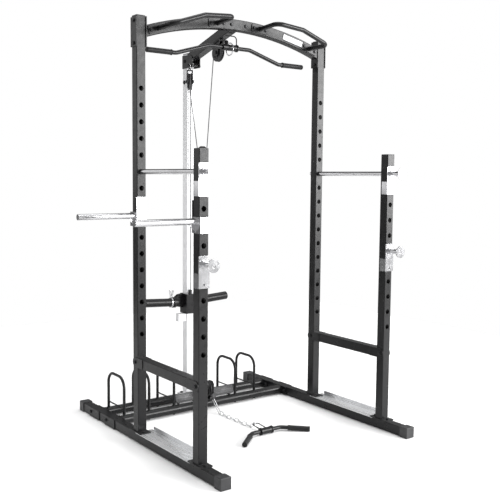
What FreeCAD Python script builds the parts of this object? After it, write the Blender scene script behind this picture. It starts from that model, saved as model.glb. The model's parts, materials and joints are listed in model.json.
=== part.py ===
"""Power cage with a plate-loaded lat tower, one STEP file for each named piece.

Millimetres. X runs from the left side frame to the right one, Y runs rearwards, Z is up.
All pieces are drawn in the cage's own axes, where X = 0 is the middle plane and Y = 0 is the
line of the tall uprights, and are shifted to the middle of the bounding box when they are saved.
"""
import FreeCAD, Part
import math
import os

V = FreeCAD.Vector
AXIS_X = V(1, 0, 0)
AXIS_Y = V(0, 1, 0)
AXIS_Z = V(0, 0, 1)

# ---------------------------------------------------------------- driving dimensions
ORIGIN_SHIFT = V(135.7, 49.0, 0)    # cage axes to the middle of the bounding box

TUBE = 50.0                 # square tube of the frame
WALL = 2.5                  # its wall
CORNER = 3.0                # its outer corner radius
HALF_WIDTH = 600.0          # middle plane to the side frames
DEPTH = 570.0               # tall uprights to short uprights
HALF_TUBE = TUBE / 2

BASE_Z = 4.0                # underside of the base tubes
BASE_FRONT = -780.0
BASE_REAR = 682.0
CAP_SIZE = 58.0
CAP_LENGTH = 50.0
CAP_END = 4.0
FOOT_T = 6.0                # foot flange under each upright
FOOT_HALF_X = 32.0
FOOT_HALF_Y = 62.0
FOOT_BOLT_Y = 46.0
UPRIGHT_Z = BASE_Z + TUBE + FOOT_T
TALL_TOP = 2172.0
SHORT_TOP = 1502.0
PLUG_T = 5.0                # plastic plug standing above a tube end

HOLE_PITCH = 83.0
HOLE_TOP_Z = 1818.0
HOLE_R = 13.0
TALL_HOLES = range(0, 16)
SHORT_HOLES = range(5, 16)

BRACE_Z = 425.0             # side brace centre height
BRACE_TAB_T = 3.0
BRACE_TAB_R = 25.0
BRACE_TAB_LENGTH = 75.0

BEAM_TOP_Z = 2225.0
BEAM_TOP_R = 1779.0
BEAM_HEIGHT = 56.0
BEAM_PLATE_T = 6.0
BEAM_PLATE_Z = (2022.0, 2172.0)
BEAM_PLATE_HALF_Y = 30.0
BEAM_BOLT_Z = (2040.0, 2151.0)
SIDE_PLATE_T = 4.0

GRIP_R = 12.5               # pull-up handles
GRIP_WALL = 2.0
GRIP_REACH_Y = -182.0
GRIP_PLATE_T = 5.0

BOOM_START = (25.0, 2199.0)     # Y and Z of its centre line at the beam
BOOM_END = (455.0, 2076.0)      # and at the column
BOOM_PLATE_T = 5.0
CHEEK_T = 4.0               # tower bracket cheeks
HANG_BOLT = (413.0, 2029.0)
HANG_BOLT_R = 5.0

COLUMN_Y = 480.0
COLUMN_TOP = 2100.0
COLUMN_WALL = 3.0

CROSS_R = 25.0
CROSS_WALL = 2.5
CROSS_Z = 30.0
CROSS_FRONT_Y = 290.0
CROSS_REAR_Y = COLUMN_Y
CROSS_FLANGE_T = 6.0
CROSS_BOLT_Y = 50.0
CROSS_FLANGE_HALF = 66.0
OUTER_PLATE_T = 4.0         # plate on the outside of the base tube at each cross tube
OUTER_PLATE_Y = (-52.0, 66.0)

HOOP_R = 8.0
HOOP_TOP_Z = 262.0
HOOP_BEND = 60.0
HOOP_LEFT_X = (-540.0, -382.0, -217.0)
HOOP_RIGHT_X = (220.0, 367.0)
HOOP_ROD_R = 4.0
HOOP_ROD_Z = 89.0

SLEEVE_R = 24.75            # weight sleeves on the carriage
SLEEVE_WALL = 4.0
NECK_R = 25.0               # slightly fuller length that the spring clip grips
NECK_END_X = 126.0
SLEEVE_Y = 500.0
SLEEVE_TIP_X = 292.0
SLEEVE_TILT = 3.5
SLEEVE_ROOT = (60.0, 617.6)
COLLAR_X = (84.0, 102.0)
COLLAR_R = 32.0
CLIP_AT = 112.0
CLIP_WIRE_R = 2.0
CLIP_GAP = 0.4
CLIP_LENGTH = 10.0
CLIP_LEAN = 9.0             # each handle leans away from the other
CLIP_HANDLE = 44.0
CLIP_HALF_WIDTH = 5.5

CARRIAGE_Z = (552.0, 671.0)
CARRIAGE_HALF_X = 35.0
CARRIAGE_HALF_Y = 38.0
CARRIAGE_WALL = 4.0
SLIDE_GAP = 0.3
BUSH_HEIGHT = 30.0
STOP_TOP = CARRIAGE_Z[0] - 0.5
STOP_HEIGHT = 46.0
STOP_HALF_X = 80.0
STOP_HALF_Y = 18.0

WHEEL_R = 50.0
WHEEL_HALF_T = 10.0
CABLE_R = 2.5
AXLE_R = 6.0
RUN_GAP = 0.05
PLATE_IN = 13.0             # half gap between the two plates of a pulley block
PLATE_OUT = 17.0
FRONT_WHEEL = V(0, 171, 2075)
REAR_WHEEL = V(-36, 410, 1934)
REAR_SWIVEL = 40.0          # degrees the rear pulley stands turned from the middle plane
FLOAT_UPPER = V(0, 330, 1508)
FLOAT_LOWER = V(0, 330, 1404)
LOW_WHEEL = V(0, 254, 132)
SMALL_WHEEL_R = 44.0
GROOVE = 6.0                # rim to cable centre line

BAR_R = 11.0                # lat bar and row bar tube
BAR_GRIP_R = 14.0
BAR_BEND = 60.0
LAT_BAR = V(0, 60, 2088)
LAT_BENDS = ((136.0, 2088.0), (345.0, 2027.0), (523.0, 2027.0))
LAT_GRIP_X = 372.0
SWIVEL_R = 17.0
SWIVEL_RIM_R = 20.0
SWIVEL_HALF = 50.0
BALL = V(0, 92, 2122)
LOW_BALL = V(0, 208, 92)
BALL_R = 12.0
SNAP_R = 3.2
SNAP_RING_R = 33.0
SNAP_CENTRE = V(0, 60, 2080)

ROW_BAR = V(12, -286, 20.4)
ROW_HALF = 97.0
ROW_GRIP = (125.0, -104.0, -5.6)
ROW_SWIVEL_HALF = 40.0

ROD_R = 12.5                # safety rods and pegs
ROD_Z = HOLE_TOP_Z - 5 * HOLE_PITCH
ROD_Y = (-562.0, 46.0)
ROD_COLLAR_Y = (29.0, 35.0)
ROD_COLLAR_R = 17.0
PLATE_GAP = 0.4             # loose plate to upright
HOOK_T = 4.0
HOOK_BELOW = 110.0
HOOK_ABOVE = 38.0
HOOK_SIDE_TOP = -42.0
HOOK_REACH = 78.0
HOOK_DISC_R = 31.0
HOOK_HOLES = (5, 10)
DIP_HOLE = 7
DIP_R = 15.0
DIP_WALL = 2.0
DIP_LENGTH = 308.0
DIP_DROP = 57.0
DIP_SLACK = 12.6

TRAY_T = 2.0
TRAY_X = (-34.0, 66.0)
TRAY_LIP = 22.0
TRAY_Y = (-532.0, -12.0)


# ---------------------------------------------------------------- shape helpers
def box(x0, x1, y0, y1, z0, z1):
    return Part.makeBox(x1 - x0, y1 - y0, z1 - z0, V(x0, y0, z0))


def rod(start, end, radius):
    along = end - start
    return Part.makeCylinder(radius, along.Length, start, along)


def join(shapes):
    return shapes[0].multiFuse(shapes[1:]).removeSplitter()


def mirrored(shape):
    return shape.mirror(V(0, 0, 0), AXIS_X)


def rounded_face(width, height, radius):
    """Rounded rectangle in the XY plane, centred on the origin."""
    a = width / 2
    b = height / 2
    k = radius * (1 - math.sqrt(0.5))
    line = Part.LineSegment
    edges = [
        line(V(-a + radius, -b, 0), V(a - radius, -b, 0)),
        Part.Arc(V(a - radius, -b, 0), V(a - k, -b + k, 0), V(a, -b + radius, 0)),
        line(V(a, -b + radius, 0), V(a, b - radius, 0)),
        Part.Arc(V(a, b - radius, 0), V(a - k, b - k, 0), V(a - radius, b, 0)),
        line(V(a - radius, b, 0), V(-a + radius, b, 0)),
        Part.Arc(V(-a + radius, b, 0), V(-a + k, b - k, 0), V(-a, b - radius, 0)),
        line(V(-a, b - radius, 0), V(-a, -b + radius, 0)),
        Part.Arc(V(-a, -b + radius, 0), V(-a + k, -b + k, 0), V(-a + radius, -b, 0)),
    ]
    return Part.Face(Part.Wire([e.toShape() for e in edges]))


def box_tube(length, wall=WALL, size=TUBE):
    """Square tube standing on the origin along Z."""
    outer = rounded_face(size, size, CORNER).extrude(V(0, 0, length))
    inner = rounded_face(size - 2 * wall, size - 2 * wall, CORNER - 2).extrude(V(0, 0, length))
    return outer.cut(inner)


def turned(shape, axis, angle, at=V(0, 0, 0)):
    copy = shape.copy()
    copy.rotate(at, axis, angle)
    return copy


def moved(shape, offset):
    copy = shape.copy()
    copy.translate(offset)
    return copy


def tube_along_y(x, z, y0, y1):
    return moved(turned(box_tube(y1 - y0), AXIS_X, -90), V(x, y0, z))


def bent_wire(points, bend, closed=False):
    """Straight runs joined by tangent arcs of one radius."""
    count = len(points)
    corners = range(count) if closed else range(1, count - 1)
    arcs = []
    for i in corners:
        before = points[i - 1]
        corner = points[i]
        after = points[(i + 1) % count]
        d1 = (corner - before).normalize()
        d2 = (after - corner).normalize()
        half = math.acos(max(-1.0, min(1.0, d1.dot(d2)))) / 2
        cut = bend * math.tan(half)
        inward = (d2 - d1).normalize()
        centre = corner + inward * (bend / math.cos(half))
        arcs.append((corner - d1 * cut, centre - inward * bend, corner + d2 * cut))
    edges = []
    last = arcs[-1][2] if closed else points[0]
    for first, middle, final in arcs:
        if (first - last).Length > 1e-6:
            edges.append(Part.makeLine(last, first))
        edges.append(Part.Arc(first, middle, final).toShape())
        last = final
    if not closed:
        edges.append(Part.makeLine(last, points[-1]))
    return Part.Wire(edges)


def sweep(wire, radius):
    start = wire.OrderedVertexes[0].Point
    heading = wire.OrderedEdges[0].tangentAt(wire.OrderedEdges[0].FirstParameter)
    profile = Part.Wire([Part.makeCircle(radius, start, heading)])
    return wire.makePipeShell([profile], True, False)


def bent_rod(points, radius, bend):
    return sweep(bent_wire(points, bend), radius)


def bent_tube(points, radius, wall, bend):
    return bent_rod(points, radius, bend).cut(bent_rod(points, radius - wall, bend))


def closed_rod(points, radius, bend):
    return sweep(bent_wire(points, bend, closed=True), radius)


def plate_yz(points, x0, x1):
    """Flat plate with a polygon outline given as Y, Z pairs."""
    corners = [V(x0, y, z) for y, z in points]
    return Part.Face(Part.makePolygon(corners + corners[:1])).extrude(V(x1 - x0, 0, 0))


def plate_xz(points, y0, y1):
    corners = [V(x, y0, z) for x, z in points]
    return Part.Face(Part.makePolygon(corners + corners[:1])).extrude(V(0, y1 - y0, 0))


def hex_head(at, axis, radius=9.0, height=7.0):
    """Hexagon head with a washer, standing on a surface point along an axis."""
    points = [V(radius * math.cos(i * math.pi / 3), radius * math.sin(i * math.pi / 3), 0)
              for i in range(6)]
    head = Part.Face(Part.makePolygon(points + points[:1])).extrude(V(0, 0, height))
    head = join([head, Part.makeCylinder(radius + 2.5, 1.6)])
    head.Placement = FreeCAD.Placement(at, FreeCAD.Rotation(AXIS_Z, axis))
    return head


def wheel(centre, rim, bore, angle=0.0):
    """Grooved pulley wheel on an X axle, then turned about the vertical."""
    groove = rim - GROOVE - CABLE_R - 2 * SLIDE_GAP
    half = WHEEL_HALF_T
    lip = half - 2.5
    edges = [
        (bore, -half), (rim - 2, -half), (rim, -half + 2), (rim, -lip),
        (groove, -2.0), (groove, 2.0), (rim, lip), (rim, half - 2), (rim - 2, half), (bore, half),
    ]
    corners = [V(x, 0, r) for r, x in edges]
    body = Part.Face(Part.makePolygon(corners + corners[:1])).revolve(V(0, 0, 0), AXIS_X, 360)
    for side in (-1, 1):
        ring = Part.makeCylinder(groove - 8, 3, V(side * half, 0, 0), V(-side, 0, 0))
        hub = Part.makeCylinder(bore + 8, 3, V(side * half, 0, 0), V(-side, 0, 0))
        body = body.cut(ring.cut(hub))
    return moved(turned(body, AXIS_Z, angle), centre)


def axle(centre, half, angle=0.0):
    """Axle bolt with a hexagon head and nut just outside the block's plates."""
    shank = Part.makeCylinder(AXLE_R, 2 * half, V(-half, 0, 0), AXIS_X)
    parts = [shank, hex_head(V(half, 0, 0), AXIS_X), hex_head(V(-half, 0, 0), -AXIS_X)]
    return moved(turned(join(parts), AXIS_Z, angle), centre)


def block_plates(centre, outline, holes, x_in=PLATE_IN, x_out=PLATE_OUT):
    """The two side plates of a pulley block, outline as Y, Z pairs round the centre."""
    plates = []
    for side in (-1, 1):
        plate = plate_yz([(y, z) for y, z in outline], side * x_in, side * x_out)
        for y, z in holes:
            plate = plate.cut(Part.makeCylinder(AXLE_R, 80, V(-40, y, z), AXIS_X))
        plates.append(moved(plate, centre))
    return plates


def arc_rod(centre, across, radius, start, end, thickness):
    """Round rod bent along an arc; angles run from the horizontal direction towards up."""
    def at(angle):
        turn = math.radians(angle)
        return centre + across * (radius * math.cos(turn)) + AXIS_Z * (radius * math.sin(turn))
    arc = Part.Arc(at(start), at((start + end) / 2), at(end)).toShape()
    return sweep(Part.Wire([arc]), thickness)


PIECES = {}


def add(name, *shapes):
    """Keep one piece; several identical pieces make one compound."""
    solids = [s for shape in shapes for s in shape.Solids]
    PIECES[name] = solids[0] if len(solids) == 1 else Part.makeCompound(solids)


def hole_z(index):
    return HOLE_TOP_Z - index * HOLE_PITCH


# ---------------------------------------------------------------- base, uprights and braces
def base_tube(x):
    return tube_along_y(x, BASE_Z + HALF_TUBE, BASE_FRONT + CAP_END, BASE_REAR - CAP_END)


def base_cap(x, y_end, inward):
    half = CAP_SIZE / 2
    y_in = y_end + inward * CAP_LENGTH
    cap = box(x - half, x + half, min(y_end, y_in), max(y_end, y_in), 0, CAP_SIZE)
    cap = cap.makeFillet(2.5, [e for e in cap.Edges if abs(e.CenterOfMass.y - y_end) < 1e-6
                               or abs(e.CenterOfMass.y - (y_end + y_in) / 2) < 1e-6])
    return cap.cut(rounded_bar_y(x, y_end + inward * CAP_END, y_in))


def rounded_bar_y(x, y0, y1):
    bar = rounded_face(TUBE, TUBE, CORNER).extrude(V(0, 0, abs(y1 - y0)))
    return moved(turned(bar, AXIS_X, -90), V(x, min(y0, y1), BASE_Z + HALF_TUBE))


def upright(x, y, top, holes):
    tube = moved(box_tube(top - UPRIGHT_Z), V(x, y, UPRIGHT_Z))
    for index in holes:
        tube = tube.cut(Part.makeCylinder(HOLE_R, 2 * TUBE, V(x, y - TUBE, hole_z(index)), AXIS_Y))
    foot = box(x - FOOT_HALF_X, x + FOOT_HALF_X, y - FOOT_HALF_Y, y + FOOT_HALF_Y,
               UPRIGHT_Z - FOOT_T, UPRIGHT_Z)
    foot = foot.makeFillet(6, [e for e in foot.Edges if abs(e.Length - FOOT_T) < 1e-6])
    return join([tube, foot])


def plug(x, y, top, size=TUBE, wall=WALL):
    cap = rounded_face(size, size, CORNER).extrude(V(0, 0, PLUG_T))
    cap = cap.makeFillet(2, [e for e in cap.Edges if abs(e.CenterOfMass.z - PLUG_T) < 1e-6])
    stem = rounded_face(size - 2 * wall, size - 2 * wall, CORNER - 2).extrude(V(0, 0, -12))
    return moved(join([cap, stem]), V(x, y, top))


def side_brace(x):
    tube = tube_along_y(x, BRACE_Z, -DEPTH + HALF_TUBE, -HALF_TUBE)
    parts = [tube]
    for side in (-1, 1):
        inner = x + side * HALF_TUBE
        outer = inner + side * BRACE_TAB_T
        for y, inward in ((0.0, -1), (-DEPTH, 1)):
            disc = Part.makeCylinder(BRACE_TAB_R, BRACE_TAB_T,
                                     V(min(inner, outer), y, BRACE_Z), AXIS_X)
            ends = sorted((y, y + inward * BRACE_TAB_LENGTH))
            strap = box(min(inner, outer), max(inner, outer), ends[0], ends[1],
                        BRACE_Z - BRACE_TAB_R, BRACE_Z + BRACE_TAB_R)
            parts += [disc, strap]
    return join(parts)


def build_side_frames():
    caps = []
    plugs = []
    for name, x in (("left", -HALF_WIDTH), ("right", HALF_WIDTH)):
        add(name + "_base_tube", base_tube(x))
        add(name + "_tall_upright", upright(x, 0, TALL_TOP, TALL_HOLES))
        add(name + "_short_upright", upright(x, -DEPTH, SHORT_TOP, SHORT_HOLES))
        add(name + "_side_brace", side_brace(x))
        caps += [base_cap(x, BASE_FRONT, 1), base_cap(x, BASE_REAR, -1)]
        plugs += [plug(x, 0, TALL_TOP), plug(x, -DEPTH, SHORT_TOP)]
    plugs.append(plug(0, COLUMN_Y, COLUMN_TOP, TUBE, COLUMN_WALL))
    add("base_end_caps", *caps)
    add("upright_plugs", *plugs)


# ---------------------------------------------------------------- floor trays
def floor_tray(x):
    z = BASE_Z + TUBE
    floor = box(x + TRAY_X[0], x + TRAY_X[1], TRAY_Y[0], TRAY_Y[1], z, z + TRAY_T)
    lip = box(x + TRAY_X[1] - TRAY_T, x + TRAY_X[1], TRAY_Y[0], TRAY_Y[1] - 20, z, z + TRAY_LIP)
    tray = join([floor, lip])
    for y in (0, -DEPTH):
        room = box(x - FOOT_HALF_X - 1, x + FOOT_HALF_X + 1, y - FOOT_HALF_Y - 1,
                   y + FOOT_HALF_Y + 1, z - 1, z + TRAY_T + 1)
        tray = tray.cut(room)
    return tray


# ---------------------------------------------------------------- pull-up beam and handles
BEAM_CENTRE_Z = BEAM_TOP_Z - BEAM_TOP_R


def beam_point(x, y, drop):
    """Point on the beam's arc, measured down from its top face."""
    radius = BEAM_TOP_R - drop
    return V(x, y, BEAM_CENTRE_Z + math.sqrt(radius * radius - x * x))


def beam_slope(x):
    return math.degrees(math.asin(x / (BEAM_TOP_R - BEAM_HEIGHT / 2)))


def arch_slab(shrink):
    """Curved bar of the beam: an outline between two arcs, given its thickness along Y."""
    reach = HALF_WIDTH - HALF_TUBE - BEAM_PLATE_T
    half_y = HALF_TUBE - shrink
    corners = [beam_point(x, -half_y, drop) for x, drop in
               ((-reach, shrink), (0, shrink), (reach, shrink), (reach, BEAM_HEIGHT - shrink),
                (0, BEAM_HEIGHT - shrink), (-reach, BEAM_HEIGHT - shrink))]
    edges = [
        Part.Arc(corners[0], corners[1], corners[2]).toShape(),
        Part.makeLine(corners[2], corners[3]),
        Part.Arc(corners[3], corners[4], corners[5]).toShape(),
        Part.makeLine(corners[5], corners[0]),
    ]
    return Part.Face(Part.Wire(edges)).extrude(V(0, 2 * half_y, 0))


def pullup_beam():
    end = HALF_WIDTH - HALF_TUBE - BEAM_PLATE_T
    slab = arch_slab(0)
    slab = slab.makeFillet(CORNER, [e for e in slab.Edges if e.Length > end])
    parts = [slab.cut(arch_slab(WALL))]
    for side in (-1, 1):
        edges = sorted((side * end, side * (end + BEAM_PLATE_T)))
        parts.append(box(edges[0], edges[1], -BEAM_PLATE_HALF_Y, BEAM_PLATE_HALF_Y,
                         BEAM_PLATE_Z[0], BEAM_PLATE_Z[1]))
    return join(parts)


def grip_plate(x):
    """Bolted plate of one handle arm on the beam's front face."""
    plate = Part.makeBox(112, GRIP_PLATE_T, 44, V(-56, -HALF_TUBE - GRIP_PLATE_T, -22))
    plate = plate.makeFillet(8, [e for e in plate.Edges if abs(e.Length - GRIP_PLATE_T) < 1e-6])
    at = beam_point(x, 0, BEAM_HEIGHT / 2)
    return moved(turned(plate, AXIS_Y, beam_slope(x)), at)


GRIP_ARM_X = (142.0, 505.0)


def pullup_handle(side):
    face = -HALF_TUBE - GRIP_PLATE_T
    inner = beam_point(GRIP_ARM_X[0], face, BEAM_HEIGHT / 2)
    outer = beam_point(GRIP_ARM_X[1], face, BEAM_HEIGHT / 2)
    points = [
        inner,
        V(inner.x, GRIP_REACH_Y, 2200),
        V(322, GRIP_REACH_Y, 2185),
        V(outer.x, GRIP_REACH_Y, outer.z),
        outer,
    ]
    tube = bent_tube(points, GRIP_R, GRIP_WALL, 38.0)
    handle = join([tube, grip_plate(GRIP_ARM_X[0]), grip_plate(GRIP_ARM_X[1])])
    return handle if side > 0 else mirrored(handle)


def build_beam():
    add("pullup_beam", pullup_beam())
    add("left_pullup_handle", pullup_handle(-1))
    add("right_pullup_handle", pullup_handle(1))


# ---------------------------------------------------------------- boom and column
BOOM_FALL = (BOOM_END[1] - BOOM_START[1]) / (BOOM_END[0] - BOOM_START[0])
BOOM_HALF = HALF_TUBE * math.sqrt(1 + BOOM_FALL * BOOM_FALL)


def boom_under(y):
    return BOOM_START[1] + BOOM_FALL * (y - BOOM_START[0]) - BOOM_HALF


def lat_boom():
    y0 = BOOM_START[0] + BOOM_PLATE_T
    y1 = BOOM_END[0]
    angle = -math.degrees(math.atan(BOOM_FALL))
    length = (y1 - y0) / math.cos(math.radians(angle)) + 2 * TUBE
    bar = turned(moved(box_tube(length), V(0, 0, -TUBE)), AXIS_X, -90 - angle)
    start = V(0, y0, BOOM_START[1] + BOOM_FALL * BOOM_PLATE_T)
    bar = moved(bar, start)
    bar = bar.common(box(-TUBE, TUBE, y0, y1, 1900, 2400))
    plate = box(-62, 62, BOOM_START[0], y0, 2173, 2223)
    parts = [bar, plate]
    column_back = COLUMN_Y + HALF_TUBE
    outline = [(column_back, 2018), (398, 2018), (398, boom_under(398) + 12),
               (420, boom_under(420) + 30), (column_back, 2094)]
    for side in (-1, 1):
        cheek = plate_yz(outline, side * HALF_TUBE, side * (HALF_TUBE + CHEEK_T))
        parts.append(cheek)
    hole = Part.makeCylinder(HANG_BOLT_R, 2 * TUBE, V(-TUBE, HANG_BOLT[0], HANG_BOLT[1]), AXIS_X)
    return join(parts).cut(hole)


def tower_column():
    foot_z = 60.0
    tube = moved(box_tube(COLUMN_TOP - foot_z, COLUMN_WALL), V(0, COLUMN_Y, foot_z))
    foot = box(-62, 62, COLUMN_Y - HALF_TUBE, COLUMN_Y + HALF_TUBE, CROSS_Z + 6, foot_z)
    foot = foot.cut(Part.makeCylinder(CROSS_R, 200, V(-100, COLUMN_Y, CROSS_Z), AXIS_X))
    return join([tube, foot])


def cross_tube(y):
    end = HALF_WIDTH - HALF_TUBE
    outer = Part.makeCylinder(CROSS_R, 2 * end, V(-end, y, CROSS_Z), AXIS_X)
    inner = Part.makeCylinder(CROSS_R - CROSS_WALL, 2 * end, V(-end, y, CROSS_Z), AXIS_X)
    parts = [outer.cut(inner)]
    for side in (-1, 1):
        edges = sorted((side * end, side * (end - CROSS_FLANGE_T)))
        parts.append(box(edges[0], edges[1], y - CROSS_FLANGE_HALF, y + CROSS_FLANGE_HALF,
                         BASE_Z + 1, BASE_Z + TUBE))
    return join(parts)


def cross_outer_plates(y):
    plates = []
    for side in (-1, 1):
        face = side * (HALF_WIDTH + HALF_TUBE)
        edges = sorted((face, face + side * OUTER_PLATE_T))
        plates.append(box(edges[0], edges[1], y + OUTER_PLATE_Y[0], y + OUTER_PLATE_Y[1],
                          BASE_Z - 1, BASE_Z + TUBE + 1))
    return plates


def plate_hoop(x):
    low = CROSS_Z + 15
    points = [V(x, CROSS_FRONT_Y, low), V(x, CROSS_FRONT_Y, HOOP_TOP_Z),
              V(x, CROSS_REAR_Y, HOOP_TOP_Z), V(x, CROSS_REAR_Y, low)]
    hoop = bent_rod(points, HOOP_R, HOOP_BEND)
    shelf = rod(V(x, CROSS_FRONT_Y, HOOP_ROD_Z), V(x, CROSS_REAR_Y, HOOP_ROD_Z), HOOP_ROD_R)
    hoop = join([hoop, shelf])
    for y in (CROSS_FRONT_Y, CROSS_REAR_Y):
        hoop = hoop.cut(Part.makeCylinder(CROSS_R, 60, V(x - 30, y, CROSS_Z), AXIS_X))
    return hoop


def foot_plate(side):
    """Tilted foot rest with two ribs, standing on the front cross tube."""
    x0, x1 = 49.0, 206.0
    face = rounded_face(x1 - x0, 52, 12).extrude(V(0, 0, 4))
    face = turned(face, AXIS_X, 72)
    face = moved(face, V((x0 + x1) / 2, CROSS_FRONT_Y + 3, 90))
    ribs = []
    for x in (x0 + 22, x1 - 28):
        outline = [(CROSS_FRONT_Y - 6, 45), (CROSS_FRONT_Y + 24, 45), (CROSS_FRONT_Y + 24, 60),
                   (CROSS_FRONT_Y + 11, 106), (CROSS_FRONT_Y + 8, 106)]
        ribs.append(plate_yz(outline, x, x + 6))
    solid = join([face] + ribs)
    solid = solid.cut(Part.makeCylinder(CROSS_R, 400, V(0, CROSS_FRONT_Y, CROSS_Z), AXIS_X))
    return solid if side > 0 else mirrored(solid)


def build_tower():
    add("lat_boom", lat_boom())
    add("tower_column", tower_column())
    add("front_cross_tube", cross_tube(CROSS_FRONT_Y), *cross_outer_plates(CROSS_FRONT_Y))
    add("rear_cross_tube", cross_tube(CROSS_REAR_Y), *cross_outer_plates(CROSS_REAR_Y))
    add("left_plate_hoops", *[plate_hoop(x) for x in HOOP_LEFT_X])
    add("right_plate_hoops", *[plate_hoop(x) for x in HOOP_RIGHT_X])
    add("foot_plates", foot_plate(-1), foot_plate(1))


# ---------------------------------------------------------------- pulleys and cables
def swivel_direction():
    turn = math.radians(REAR_SWIVEL)
    return V(math.sin(turn), math.cos(turn), 0)


def crossing_run(centre_a, radius_a, centre_b, radius_b, side):
    """Angle of the straight run that crosses from one wheel's side to the other's far side."""
    gap = centre_b - centre_a
    heading = math.atan2(gap.z, gap.y)
    tilt = math.acos((radius_a + radius_b) / math.hypot(gap.y, gap.z))
    return math.degrees(heading + side * tilt)


def front_pulley_block():
    """Plates, back strap and foot of the block under the boom."""
    top = [(y, boom_under(y) - FRONT_WHEEL.z) for y in (134.0, 216.0)]
    top = [(y - FRONT_WHEEL.y, z) for y, z in top]
    outline = [top[0], top[1], (18, -14), (8, -20), (-8, -20), (-18, -14)]
    parts = block_plates(FRONT_WHEEL, outline, [(0, 0)])
    foot = [(134.0, boom_under(134.0)), (216.0, boom_under(216.0)),
            (216.0, boom_under(216.0) - 4), (134.0, boom_under(134.0) - 4)]
    parts.append(plate_yz(foot, -24, 24))
    return join(parts)


LINK_WIRE_R = 2.4
LINK_GAP = 0.3
LINK_HALF = 8.0
BLOCK_TOP_Z = 66.0
BLOCK_EYE_Z = BLOCK_TOP_Z + 12.0


def rear_pulley_block():
    top = BLOCK_TOP_Z
    outline = [(-14, top), (14, top), (18, 0), (12, -14), (-12, -14), (-18, 0)]
    parts = block_plates(V(0, 0, 0), outline, [(0, 0)])
    bridge = box(-PLATE_OUT, PLATE_OUT, -14, 14, top - 5, top)
    block = turned(join(parts + [bridge]), AXIS_Z, -REAR_SWIVEL)
    hook_y = HANG_BOLT[0] - REAR_WHEEL.y
    eye = [V(-5.5, hook_y, top - 2), V(-5.5, hook_y, BLOCK_EYE_Z + 2.5),
           V(5.5, hook_y, BLOCK_EYE_Z + 2.5), V(5.5, hook_y, top - 2)]
    return moved(join([block, bent_rod(eye, 2.5, 5.4)]), REAR_WHEEL)


def hanging_link():
    """Oval ring that hangs on the tower bolt and carries the rear pulley's eye."""
    y, z = HANG_BOLT
    x = REAR_WHEEL.x
    top = z + HANG_BOLT_R + LINK_GAP + LINK_WIRE_R
    low = REAR_WHEEL.z + BLOCK_EYE_Z - LINK_WIRE_R - LINK_GAP
    points = [V(x, y - LINK_HALF, low), V(x, y + LINK_HALF, low),
              V(x, y + LINK_HALF, top), V(x, y - LINK_HALF, top)]
    return closed_rod(points, LINK_WIRE_R, LINK_HALF * 0.999)


def hang_bolt():
    y, z = HANG_BOLT
    reach = HALF_TUBE + CHEEK_T
    shank = rod(V(-reach - 15, y, z), V(reach, y, z), HANG_BOLT_R)
    left = hex_head(V(-reach - 15, y, z), -AXIS_X)
    right = hex_head(V(reach, y, z), AXIS_X)
    return join([shank, left, right])


def float_block():
    drop = FLOAT_UPPER.z - FLOAT_LOWER.z
    outline = [(-18, 0), (-14, 40), (14, 40), (18, 0), (18, -drop), (12, -drop - 16),
               (-12, -drop - 16), (-18, -drop)]
    parts = block_plates(FLOAT_UPPER, outline, [(0, 0), (0, -drop)])
    bridge_z = FLOAT_UPPER.z - WHEEL_R - 4
    parts.append(box(-PLATE_IN, PLATE_IN, FLOAT_UPPER.y - 14, FLOAT_UPPER.y + 14,
                     bridge_z - 3, bridge_z))
    return join(parts)


def low_pulley_block():
    base_top = CROSS_Z + CROSS_R + 6
    outline = [(-34, -24), (-34, 26), (-20, 44), (16, 44), (40, 10), (60, base_top - LOW_WHEEL.z),
               (60, 48 - LOW_WHEEL.z), (14, 48 - LOW_WHEEL.z), (-10, -48)]
    parts = block_plates(LOW_WHEEL, outline, [(0, 0)])
    strap = box(-26, 26, CROSS_FRONT_Y - 26, CROSS_FRONT_Y + 96, base_top - 8, base_top)
    anchor_y = FLOAT_LOWER.y + SMALL_WHEEL_R - GROOVE
    tab = box(-4, 4, anchor_y - 14, anchor_y + 14, base_top, base_top + 26)
    block = join(parts + [strap, tab])
    return block.cut(Part.makeCylinder(CROSS_R, 80, V(-40, CROSS_FRONT_Y, CROSS_Z), AXIS_X))


def lat_cable():
    """Fixed run: front wheel, down to the floating block, up to the rear wheel and over it."""
    run_r = WHEEL_R - GROOVE
    angle = crossing_run(FRONT_WHEEL, run_r, FLOAT_UPPER, run_r, 1)
    over = arc_rod(FRONT_WHEEL, AXIS_Y, run_r, angle, 180, CABLE_R)
    turn = math.radians(angle)
    offset = V(0, run_r * math.cos(turn), run_r * math.sin(turn))
    down = rod(FRONT_WHEEL + offset, FLOAT_UPPER - offset, CABLE_R)
    under = arc_rod(FLOAT_UPPER, AXIS_Y, run_r, angle - 180, 0, CABLE_R)
    float_side = FLOAT_UPPER + V(0, run_r, 0)
    across = swivel_direction()
    run = float_side - (REAR_WHEEL - across * run_r)
    lean = math.atan2(run.dot(across), -run.z)
    rear_side = REAR_WHEEL - across * (run_r * math.cos(lean)) - AXIS_Z * (run_r * math.sin(lean))
    up = rod(float_side, rear_side, CABLE_R)
    back = arc_rod(REAR_WHEEL, across, run_r, 180 + math.degrees(lean), 0, CABLE_R)
    knuckles = [Part.makeSphere(CABLE_R, p) for p in
                (FRONT_WHEEL + offset, FLOAT_UPPER - offset, float_side, rear_side)]
    return join([over, down, under, up, back] + knuckles)


def lat_cable_end():
    """Short free end from the front wheel to the stop ball; it pays out with the bar."""
    start = FRONT_WHEEL - V(0, WHEEL_R - GROOVE, 0)
    towards = (BALL - start).normalize()
    return rod(start + towards * (3 * CABLE_R), BALL - towards * (BALL_R + SLIDE_GAP), CABLE_R)


def carriage_cable():
    start = REAR_WHEEL + swivel_direction() * (WHEEL_R - GROOVE)
    end = V(start.x, start.y, CARRIAGE_Z[1] + 26)
    return rod(start - AXIS_Z, end, CABLE_R)


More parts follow.
